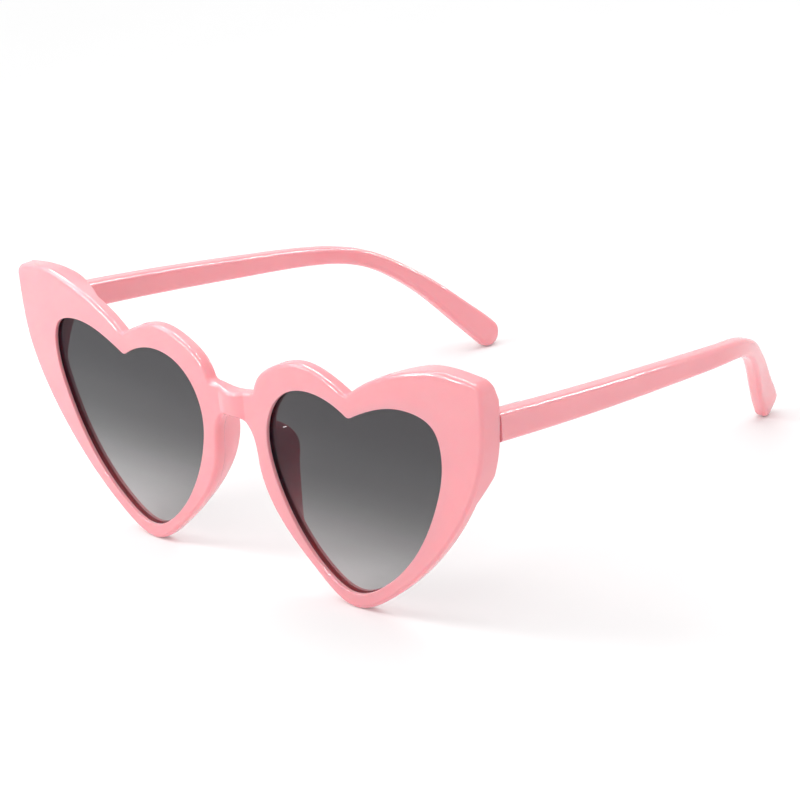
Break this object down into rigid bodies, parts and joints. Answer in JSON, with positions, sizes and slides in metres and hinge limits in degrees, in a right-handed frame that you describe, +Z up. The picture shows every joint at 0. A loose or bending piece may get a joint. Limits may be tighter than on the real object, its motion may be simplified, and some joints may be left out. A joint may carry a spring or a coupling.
{
  "type": "sunglasses",
  "caption": "Heart-shaped glossy plastic sunglasses with gradient tinted lenses in grooved rims, moulded nose pads and folding temples on screwed metal hinges.",
  "frame": {"origin": "middle of the bottom of the glasses' box, on the plane that the heart points and temple tips stand on", "axes": "+X to the wearer's left, +Y from the front towards the temple tips, +Z up"},
  "size_m": [0.1446, 0.1394, 0.061],
  "materials": {
    "frame": "glossy pink",
    "lens": "grey gradient tint, dark at the top",
    "pad": "glossy pink",
    "hinge": "satin",
    "screw": "satin"
  },
  "bodies": {
    "front": {"front_frame": "frame", "lens_left": "lens", "lens_right": "lens", "nose_pad_left": "pad", "nose_pad_right": "pad", "front_hinge_left": "hinge", "front_hinge_right": "hinge", "front_hinge_screws_left": "screw", "front_hinge_screws_right": "screw", "hinge_screw_left": "screw", "hinge_screw_right": "screw"},
    "temple_left_body": {"temple_left": "frame", "temple_hinge_left": "hinge", "temple_hinge_screws_left": "screw"},
    "temple_right_body": {"temple_right": "frame", "temple_hinge_right": "hinge", "temple_hinge_screws_right": "screw"}
  },
  "joints": [
    {"name": "temple_fold_left", "type": "hinge", "parent": "front", "child": "temple_left_body", "pos_m": [0.066, -0.0595, 0.0492], "axis": [0, 0, 1], "range_deg": [0, 82]},
    {"name": "temple_fold_right", "type": "hinge", "parent": "front", "child": "temple_right_body", "pos_m": [-0.066, -0.0595, 0.0492], "axis": [0, 0, -1], "range_deg": [0, 75]}
  ]
}
